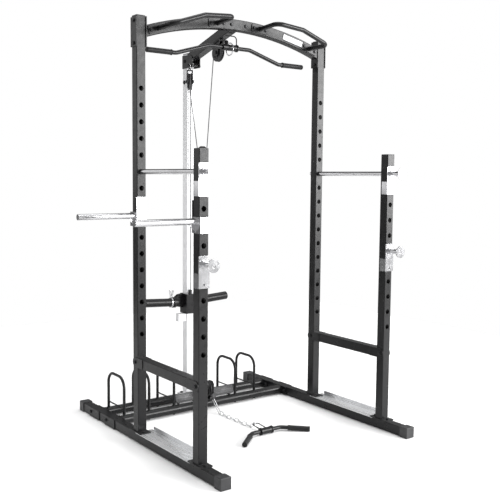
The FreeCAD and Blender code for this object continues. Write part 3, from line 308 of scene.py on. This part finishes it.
def grip_rubber():
    shade = Shade("grip_rubber")
    shade.set(Specular_IOR_Level=0.2, Sheen_Weight=0.03, Sheen_Roughness=0.5)
    shade.colour(shade.noise(60.0, 5.0), (0.006, 0.006, 0.006), (0.014, 0.014, 0.015))
    shade.roughness(shade.noise(90.0, 4.0), 0.42, 0.60)
    shade.bump((shade.noise(650.0, 4.0), 0.45, 0.0004))
    return shade.material


def cable_sheath():
    shade = Shade("cable_sheath")
    shade.set(Specular_IOR_Level=0.1)
    strands = shade.diagonal_waves(420.0, 1.5)
    shade.colour(strands, (0.04, 0.04, 0.042), (0.11, 0.11, 0.112), at=(0.2, 0.8))
    shade.roughness(shade.noise(80.0, 3.0), 0.40, 0.55)
    shade.bump((strands, 0.4, 0.0004))
    return shade.material


def zinc_steel():
    shade = Shade("zinc_steel")
    shade.set(Metallic=1.0)
    shade.colour(shade.noise(45.0, 5.0), (0.56, 0.56, 0.55), (0.78, 0.79, 0.81))
    shade.roughness(shade.noise(120.0, 5.0), 0.16, 0.34)
    shade.bump((shade.noise(700.0, 3.0), 0.15, 0.0002), edge=0.0005)
    return shade.material


def black_oxide():
    shade = Shade("black_oxide")
    shade.set(Metallic=0.3, Specular_IOR_Level=0.25)
    shade.colour(shade.noise(80.0, 4.0), (0.010, 0.010, 0.011), (0.030, 0.030, 0.031))
    shade.roughness(shade.noise(150.0, 4.0), 0.26, 0.40)
    shade.bump((shade.noise(600.0, 3.0), 0.2, 0.0002), edge=0.0006)
    return shade.material


MATERIALS = {
    "black_powder_coat": powder_coat(),
    "column_finish": column_plate(),
    "tray_steel": tray_steel(),
    "tread_plate": tread_steel(),
    "chrome": chrome(),
    "black_plastic": black_plastic(),
    "grip_rubber": grip_rubber(),
    "cable_sheath": cable_sheath(),
    "zinc_steel": zinc_steel(),
    "black_oxide": black_oxide(),
}


def dress_cad_nodes():
    for entry in frame["record"]["subparts"]:
        mesh = NODES[entry["node"]].data
        mesh.materials.clear()
        mesh.materials.append(MATERIALS[entry["material_slot"]])


# ---------------------------------------------------------------- mesh building
SHIFT = Vector((135.7, 49.0, 0.0))      # the cage's own axes to the frame's, in mm


def cage(x, y, z):
    """Point given in the cage's own axes and millimetres, as a place in the frame."""
    return (Vector((x, y, z)) + SHIFT) * MM


def standing(at, axis, spin=0.0):
    """Matrix that puts a shape drawn along +Z at a point, along an axis."""
    turn = Vector(axis).to_track_quat("Z", "Y").to_matrix().to_4x4()
    return Matrix.Translation(at) @ turn @ Matrix.Rotation(spin, 4, "Z")


def circle(radius, height, place, steps):
    angles = [2 * math.pi * i / steps for i in range(steps)]
    return [place @ Vector((radius * math.cos(a), radius * math.sin(a), height)) for a in angles]


def skin(build, rings, loop=False):
    """Joins rings of equally many points into a closed skin; loop joins the last to the first."""
    made = [[build.verts.new(p) for p in ring] for ring in rings]
    pairs = list(zip(made, made[1:]))
    if loop:
        pairs.append((made[-1], made[0]))
    for low, high in pairs:
        for i in range(len(low)):
            j = (i + 1) % len(low)
            build.faces.new((low[i], low[j], high[j], high[i]))
    if not loop:
        build.faces.new(made[0][::-1])
        build.faces.new(made[-1])


def lathe(build, profile, place, steps=40, hollow=False):
    """Turned body: profile holds (radius, height) pairs; a hollow one is a closed section."""
    skin(build, [circle(r, h, place, steps) for r, h in profile], loop=hollow)


def finish_mesh(name, build, body, slot_name, sharp=32.0, stands_for=()):
    """Turns a bmesh into a named piece that rides on a body and takes a slot's finish."""
    bmesh.ops.recalc_face_normals(build, faces=build.faces[:])
    mesh = bpy.data.meshes.new(name)
    build.to_mesh(mesh)
    build.free()
    mesh.shade_smooth()
    mesh.set_sharp_from_angle(angle=math.radians(sharp))
    mesh.materials.append(MATERIALS[slot_name])
    piece = bpy.data.objects.new(name, mesh)
    bpy.context.scene.collection.objects.link(piece)
    if stands_for:
        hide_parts(*stands_for)
    if body:
        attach(piece, body)
    return piece


def centre_of(node):
    low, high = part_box(node)
    return (low + high) / 2


# ---------------------------------------------------------------- bolts
BOLT_HEX = 9.0 * MM
BOLT_HEIGHT = 7.0 * MM
WASHER_R = 11.5 * MM
WASHER_T = 1.6 * MM
SHANK_R = 5.0 * MM
HEAD_FLAT = 0.84            # radius of the head's flat top, as a share of its corner radius
TURN_EACH = 0.7             # how much further round each bolt head is turned than the last


def hexagon(radius, height, trim, place, steps=36):
    """Hexagon section cut back to a circle of radius trim."""
    points = []
    for i in range(steps):
        a = 2 * math.pi * i / steps
        within = (a + math.pi / 6) % (math.pi / 3) - math.pi / 6
        reach = min(radius * math.cos(math.pi / 6) / math.cos(within), trim)
        points.append(place @ Vector((reach * math.cos(a), reach * math.sin(a), height)))
    return points


def bolt_head(build, at, axis, spin):
    """Washer with rounded rim, and a hexagon head with a chamfered top and a shallow dish."""
    place = standing(at, axis, spin)
    rim = 0.35 * MM
    lathe(build, [(WASHER_R - rim, 0.0), (WASHER_R, rim), (WASHER_R, WASHER_T - rim),
                  (WASHER_R - rim, WASHER_T)], place)
    flat = BOLT_HEX * HEAD_FLAT
    skin(build, [hexagon(BOLT_HEX, WASHER_T * 0.9, BOLT_HEX, place),
                 hexagon(BOLT_HEX, BOLT_HEIGHT - 0.7 * MM, BOLT_HEX * 0.97, place),
                 hexagon(BOLT_HEX, BOLT_HEIGHT, flat, place),
                 hexagon(BOLT_HEX, BOLT_HEIGHT, flat * 0.80, place),
                 hexagon(BOLT_HEX, BOLT_HEIGHT - 0.6 * MM, flat * 0.70, place)])


def islands(node):
    """Vertex groups of a CAD node that hang together."""
    build = bmesh.new()
    build.from_mesh(NODES[node].data)
    bmesh.ops.remove_doubles(build, verts=build.verts, dist=0.01 * MM)
    left = set(build.verts)
    found = []
    while left:
        group = {left.pop()}
        edge = list(group)
        while edge:
            vertex = edge.pop()
            near = {e.other_vert(vertex) for e in vertex.link_edges} & left
            left -= near
            group |= near
            edge += list(near)
        found.append([v.co.copy() for v in group])
    build.free()
    return sorted(found, key=lambda points: tuple(points[0]))


def bolt_ends(points):
    """Seats of one bolt: (point on the surface, outward axis) for each of its heads."""
    low = Vector([min(p[i] for p in points) for i in range(3)])
    high = Vector([max(p[i] for p in points) for i in range(3)])
    size = high - low
    middle = (low + high) / 2
    if max(size) > 3 * WASHER_R:
        reach = Vector((size.x / 2 - BOLT_HEIGHT, 0, 0))
        return [(middle + reach, Vector((1, 0, 0))), (middle - reach, Vector((-1, 0, 0)))]
    along = min(range(3), key=lambda i: size[i])
    axis = Vector([1.0 if i == along else 0.0 for i in range(3)])
    wide = [p for p in points if ((p - middle) - axis * (p - middle).dot(axis)).length > WASHER_R * 0.95]
    side = 1 if sum((p - middle).dot(axis) for p in wide) < 0 else -1
    return [(middle - axis * side * size[along] / 2, axis * side)]


def hex_bolts():
    build = bmesh.new()
    for count, points in enumerate(islands("frame_bolts")):
        ends = bolt_ends(points)
        for at, axis in ends:
            bolt_head(build, at, axis, spin=TURN_EACH * count)
        if len(ends) == 2:
            skin(build, [circle(SHANK_R, 0.0, standing(at, ends[0][1]), 24) for at, _ in ends])
    finish_mesh("hex_bolts", build, "root", "black_oxide", 28.0, ["frame_bolts"])


# ---------------------------------------------------------------- grips
GRIP_FLANGE = 15.6 * MM
GRIP_OUTER = 14.0 * MM
GRIP_LOW = 13.6 * MM
GRIP_INNER = 11.02 * MM
RIB_PITCH = 4.2 * MM


def grip(build, inner_end, outer_end):
    """Moulded grip: end flange, a smooth band, fine ribs, and a closed end with a dished face."""
    length = (outer_end - inner_end).length
    profile = [(GRIP_INNER, 0.0), (GRIP_FLANGE - 0.5 * MM, 0.0), (GRIP_FLANGE, 0.6 * MM),
               (GRIP_FLANGE, 2.6 * MM), (GRIP_OUTER, 3.6 * MM), (GRIP_OUTER, 9.0 * MM)]
    ribs = int((length - 20.0 * MM) / RIB_PITCH)
    for i in range(ribs):
        h = 9.4 * MM + i * RIB_PITCH
        profile += [(GRIP_LOW, h), (GRIP_OUTER - 0.15 * MM, h + 0.3 * RIB_PITCH),
                    (GRIP_OUTER - 0.15 * MM, h + 0.6 * RIB_PITCH), (GRIP_LOW, h + 0.9 * RIB_PITCH)]
    profile += [(GRIP_OUTER, length - 9.0 * MM), (GRIP_OUTER, length - 2.4 * MM),
                (GRIP_OUTER - 0.9 * MM, length - 0.6 * MM), (GRIP_OUTER - 2.4 * MM, length),
                (GRIP_OUTER - 4.0 * MM, length), (GRIP_OUTER - 4.6 * MM, length - 1.0 * MM),
                (3.0 * MM, length - 1.4 * MM)]
    lathe(build, profile, standing(inner_end, outer_end - inner_end), 36)


LAT_GRIP_ENDS = ((372.0, 60.0, 2027.0), (523.0, 60.0, 2027.0))
ROW_BAR = Vector((12.0, -286.0, 20.4))
ROW_HALF = 97.0
ROW_GRIP = Vector((125.0, -104.0, -5.6))
ROW_GRIP_FROM = 0.26


def bar_grips():
    lat = bmesh.new()
    row = bmesh.new()
    for side in (-1, 1):
        inner, outer = [cage(side * x, y, z) for x, y, z in LAT_GRIP_ENDS]
        grip(lat, inner, outer)
        bend = ROW_BAR + Vector((side * ROW_HALF, 0, 0))
        tip = Vector((side * ROW_GRIP.x, ROW_GRIP.y, ROW_GRIP.z))
        grip(row, cage(*(bend + tip * ROW_GRIP_FROM)), cage(*(bend + tip)))
    finish_mesh("lat_bar_ribbed_grips", lat, "lat_bar", "grip_rubber", 40.0, ["lat_bar_grips"])
    finish_mesh("row_bar_ribbed_grips", row, "row_bar", "grip_rubber", 40.0, ["row_bar_grips"])


# ---------------------------------------------------------------- plates
def rounded(width, height, radius, inset, z, place, steps=6):
    """Rounded rectangle drawn in by inset, at height z over the plate's own plane."""
    a = width / 2 - inset
    b = height / 2 - inset
    r = max(radius - inset, 0.2 * MM)
    points = []
    for quarter, (sx, sy) in enumerate(((1, 1), (-1, 1), (-1, -1), (1, -1))):
        for i in range(steps + 1):
            angle = math.pi / 2 * (quarter + i / steps)
            x = sx * (a - r) + r * math.cos(angle)
            y = sy * (b - r) + r * math.sin(angle)
            points.append(place @ Vector((x, y, z)))
    return points


def bevelled_plate(build, width, height, thick, radius, edge, place):
    skin(build, [rounded(width, height, radius, inset, z, place) for inset, z in
                 ((edge, 0.0), (0.0, edge), (0.0, thick - edge), (0.3 * edge, thick - 0.3 * edge),
                  (edge, thick))])


TREAD_SIZE = (157.0, 52.0, 4.0)
TREAD_CORNER = 12.0
TREAD_TILT = 72.0
TREAD_X = (49.0, 206.0)
TREAD_Y = 293.0
TREAD_Z = 90.0
LOZENGE = (6.2, 1.9, 1.0)           # half length, half width and height of a raised lozenge
LOZENGE_PITCH = 12.6
BRACKET = ((284.0, 52.0), (314.0, 52.0), (314.0, 60.0), (301.0, 106.0), (297.0, 106.0))


def lozenge(build, x, y, angle, base, place):
    half, wide, high = (v * MM for v in LOZENGE)
    local = place @ Matrix.Translation((x, y, base)) @ Matrix.Rotation(angle, 4, "Z")
    rings = []
    for share, lift in ((1.0, -0.2 * MM), (0.86, 0.6 * high), (0.55, high)):
        ring = []
        for i in range(12):
            a = 2 * math.pi * i / 12
            ring.append(local @ Vector((share * half * math.cos(a), share * wide * math.sin(a), lift)))
        rings.append(ring)
    skin(build, rings)


def foot_tread(build, side):
    """Tilted chequer-plate foot rest on two welded brackets."""
    width, height, thick = (v * MM for v in TREAD_SIZE)
    at = cage(side * (TREAD_X[0] + TREAD_X[1]) / 2, TREAD_Y, TREAD_Z)
    place = Matrix.Translation(at) @ Matrix.Rotation(math.radians(TREAD_TILT), 4, "X")
    bevelled_plate(build, width, height, thick, TREAD_CORNER * MM, 0.8 * MM, place)
    pitch = LOZENGE_PITCH * MM
    for column in range(-5, 6):
        for row in (-1.5, -0.5, 0.5, 1.5):
            lean = 45 if (column + int(row + 1.5)) % 2 else -45
            lozenge(build, column * pitch, row * pitch * 0.92, math.radians(lean), thick, place)
    for x in (TREAD_X[0] + 22, TREAD_X[1] - 28):
        skin(build, [[cage(side * (x + step), y, z) for y, z in BRACKET] for step in (0.0, 6.0)])


def foot_treads():
    build = bmesh.new()
    for side in (-1, 1):
        foot_tread(build, side)
    finish_mesh("foot_treads", build, "root", "tread_plate", 30.0, ["foot_plates"])


BEAM_TOP_Z = 2225.0
BEAM_TOP_R = 1779.0
BEAM_HEIGHT = 56.0
BEAM_FACE_Y = -25.0
NAME_PLATE_X = 380.0
NAME_PLATE = (152.0, 38.0)


def beam_middle_z(x):
    """Height of the arched beam's centre line at a distance from the middle of the cage."""
    radius = BEAM_TOP_R - BEAM_HEIGHT / 2
    return BEAM_TOP_Z - BEAM_TOP_R + math.sqrt(radius * radius - x * x)


def name_plate():
    """Blank satin plate in a raised dark rim on the beam's front face."""
    width, height = (v * MM for v in NAME_PLATE)
    slope = math.asin(NAME_PLATE_X / (BEAM_TOP_R - BEAM_HEIGHT / 2))
    place = Matrix.Translation(cage(NAME_PLATE_X, BEAM_FACE_Y, beam_middle_z(NAME_PLATE_X)))
    place = place @ Matrix.Rotation(slope, 4, "Y") @ Matrix.Rotation(math.pi / 2, 4, "X")
    panel = bmesh.new()
    skin(panel, [rounded(width, height, 6 * MM, inset * MM, z * MM, place) for inset, z in
                 ((4.0, -0.5), (4.0, 1.1), (4.3, 1.3))])
    finish_mesh("name_plate", panel, "root", "column_finish", 25.0)
    rim = bmesh.new()
    skin(rim, [rounded(width, height, 6 * MM, inset * MM, z * MM, place) for inset, z in
               ((0.0, -0.5), (0.0, 1.6), (0.4, 2.0), (3.7, 2.0), (4.1, 1.6), (4.1, -0.5))], loop=True)
    finish_mesh("name_plate_rim", rim, "root", "black_plastic", 25.0)


# ---------------------------------------------------------------- wheels and sleeves
WHEEL_HALF = 10.0 * MM
WHEEL_RECESS = 3.0 * MM
SPOKES = 8
HUB_R = 13.6
HUB_RIB = 1.6               # half widths of a rib at the hub and at the rim
RIM_RIB = 2.2
REAR_SWIVEL = 40.0
WHEELS = {
    "front_wheel": ("front_pulley_wheel", 31.0, 0.0),
    "rear_wheel": ("rear_pulley_wheel", 31.0, -REAR_SWIVEL),
    "float_top_wheel": ("float_upper_wheel", 31.0, 0.0),
    "float_bottom_wheel": ("float_lower_wheel", 25.0, 0.0),
    "low_wheel": ("low_pulley_wheel", 25.0, 0.0),
}


def wheel_spokes():
    """Moulded ribs in the side recesses of each pulley wheel, and its bearing shields."""
    for body, (node, reach, turn) in WHEELS.items():
        axis = Matrix.Rotation(math.radians(turn), 3, "Z") @ Vector((1, 0, 0))
        ribs = bmesh.new()
        shields = bmesh.new()
        for side in (-1, 1):
            face = centre_of(node) + axis * side * WHEEL_HALF
            for i in range(SPOKES):
                place = standing(face, axis * side, 2 * math.pi * i / SPOKES)
                rings = []
                for r, wide in ((HUB_R * MM, HUB_RIB * MM), ((reach + 0.4) * MM, RIM_RIB * MM)):
                    rings.append([place @ Vector((r, y, z)) for y, z in (
                        (-wide, -WHEEL_RECESS - 0.2 * MM), (wide, -WHEEL_RECESS - 0.2 * MM),
                        (0.7 * wide, -0.4 * MM), (-0.7 * wide, -0.4 * MM))])
                skin(ribs, rings)
            lathe(shields, [(7.4 * MM, -0.1 * MM), (11.6 * MM, -0.1 * MM), (11.6 * MM, 0.5 * MM),
                            (11.0 * MM, 0.8 * MM), (8.0 * MM, 0.8 * MM), (7.4 * MM, 0.5 * MM)],
                  standing(face, axis * side), 32, hollow=True)
        finish_mesh(node + "_ribs", ribs, body, "black_plastic", 30.0)
        finish_mesh(node + "_shields", shields, body, "zinc_steel", 30.0)


SLEEVE_TIP = (292.0, 500.0)
SLEEVE_ROOT = (60.0, 617.6)
SLEEVE_TILT = math.radians(3.5)
SLEEVE_R = 24.75 * MM


def sleeve_caps():
    """Domed plastic plugs in the open ends of the two weight sleeves."""
    build = bmesh.new()
    rise = (SLEEVE_TIP[0] - SLEEVE_ROOT[0]) * math.tan(SLEEVE_TILT)
    for side in (-1, 1):
        at = cage(side * SLEEVE_TIP[0], SLEEVE_TIP[1], SLEEVE_ROOT[1] + rise)
        outward = Vector((side * math.cos(SLEEVE_TILT), 0, math.sin(SLEEVE_TILT)))
        profile = [(SLEEVE_R - 1.2 * MM, -0.5 * MM), (SLEEVE_R - 1.2 * MM, 1.0 * MM),
                   (SLEEVE_R - 2.0 * MM, 2.2 * MM), (SLEEVE_R - 5.0 * MM, 3.0 * MM),
                   (9.0 * MM, 3.8 * MM), (2.0 * MM, 4.0 * MM)]
        lathe(build, profile, standing(at, outward), 48)
    finish_mesh("weight_sleeve_caps", build, "carriage", "black_plastic")


# ---------------------------------------------------------------- cables
CABLE_R = 2.5 * MM
FRONT_TANGENT = cage(0, 127, 2075)
BALL_AT = cage(0, 92, 2122)
REAR_TANGENT = cage(-7.7, 443.7, 1934)
CARRIAGE_END_Z = 0.693      # just inside the carriage's lug


def straight_cable(name, start, end, node, pitch):
    """Cable between a wheel and the body that pulls it, in short lengths."""
    build = bmesh.new()
    count = int((end - start).length / pitch) + 2
    place = standing(start, end - start)
    step = (end - start).length / count
    skin(build, [circle(CABLE_R, i * step, place, 12) for i in range(count + 1)])
    piece = finish_mesh(name, build, None, "cable_sheath", stands_for=[node])
    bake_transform(piece)


def moving_cables():
    straight_cable("lat_cable_free_run", FRONT_TANGENT, BALL_AT,
                   "lat_cable_end", 0.5 * MM)
    low = Vector((REAR_TANGENT.x, REAR_TANGENT.y, CARRIAGE_END_Z))
    straight_cable("carriage_cable_run", REAR_TANGENT, low,
                   "carriage_cable", 6.0 * MM)


# ---------------------------------------------------------------- weld beads
BEAD_PITCH = 3.4 * MM
BEAD_STEP = 0.9 * MM


def loop_points(corners, step):
    """Evenly spaced points round a closed polyline."""
    points = []
    for here, after in zip(corners, corners[1:] + corners[:1]):
        count = max(int((after - here).length / step), 1)
        points += [here.lerp(after, i / count) for i in range(count)]
    return points


def bead(build, corners, radius):
    """Rippled weld bead lying round a closed loop of points."""
    points = loop_points(corners, BEAD_STEP)
    walked = 0.0
    rings = []
    for i, at in enumerate(points):
        before = points[i - 1]
        after = points[(i + 1) % len(points)]
        walked += (at - before).length
        swell = radius * (1 + 0.16 * math.sin(2 * math.pi * walked / BEAD_PITCH))
        place = standing(at, after - before)
        rings.append(circle(swell, 0.0, place, 6))
    skin(build, rings, loop=True)


def square_loop(x, y, z, half, corner=3.0):
    place = Matrix.Translation(cage(x, y, z))
    return rounded(2 * half * MM, 2 * half * MM, corner * MM, 0.0, 0.0, place, 3)


def round_loop(at, axis, radius):
    return circle(radius * MM, 0.0, standing(at, axis), 40)


CROSS_TUBE_Y = (290.0, 480.0)
UPRIGHT_FEET = [(x, y) for x in (-600.0, 600.0) for y in (0.0, -570.0)]
HOOP_FEET = [(x, y) for x in (-540.0, -382.0, -217.0, 220.0, 367.0) for y in CROSS_TUBE_Y]
HANDLE_ARMS = (142.0, 505.0)
BASE_TOP = 60.0
UPRIGHT_HALF = 25.3
CROSS_TUBE_Z = 30.0
CROSS_TUBE_R = 25.0
CROSS_TUBE_END = 568.8
HOOP_ROD_R = 8.4
HANDLE_FOOT_Y = -30.4
HANDLE_FOOT_R = 12.8


def saddle_loop(x, y, steps=28):
    """Line where a hoop's upright rod comes out of the top of a round cross tube."""
    points = []
    for i in range(steps):
        angle = 2 * math.pi * i / steps
        across = HOOP_ROD_R * math.sin(angle)
        rise = math.sqrt(CROSS_TUBE_R ** 2 - across ** 2)
        points.append(cage(x + HOOP_ROD_R * math.cos(angle), y + across, CROSS_TUBE_Z + rise))
    return points


def frame_welds():
    build = bmesh.new()
    for x, y in UPRIGHT_FEET:
        bead(build, square_loop(x, y, BASE_TOP, UPRIGHT_HALF), 2.6 * MM)
    for x, y in HOOP_FEET:
        bead(build, saddle_loop(x, y), 1.9 * MM)
    for side in (-1, 1):
        for y in CROSS_TUBE_Y:
            at = cage(side * CROSS_TUBE_END, y, CROSS_TUBE_Z)
            bead(build, round_loop(at, (1, 0, 0), CROSS_TUBE_R + 0.2), 2.2 * MM)
        for x in HANDLE_ARMS:
            at = cage(side * x, HANDLE_FOOT_Y, beam_middle_z(x))
            bead(build, round_loop(at, (0, 1, 0), HANDLE_FOOT_R), 1.9 * MM)
    finish_mesh("frame_weld_beads", build, "root", "black_powder_coat", 60.0)


HOOP_END = ((7.4, 7.0), (7.4, 3.4), (6.4, 1.8), (3.6, 0.9), (1.0, 0.7))


def hoop_ends():
    """Rounded ends of the plate hoops, just showing under the cross tubes."""
    build = bmesh.new()
    for x, y in HOOP_FEET:
        lathe(build, [(r * MM, z * MM) for r, z in HOOP_END], Matrix.Translation(cage(x, y, 0.0)), 24)
    finish_mesh("hoop_end_domes", build, "root", "black_powder_coat")


# ---------------------------------------------------------------- scene
make_camera()
make_studio()
make_floor()
dress_cad_nodes()
hex_bolts()
bar_grips()
foot_treads()
name_plate()
wheel_spokes()
sleeve_caps()
moving_cables()
frame_welds()
hoop_ends()
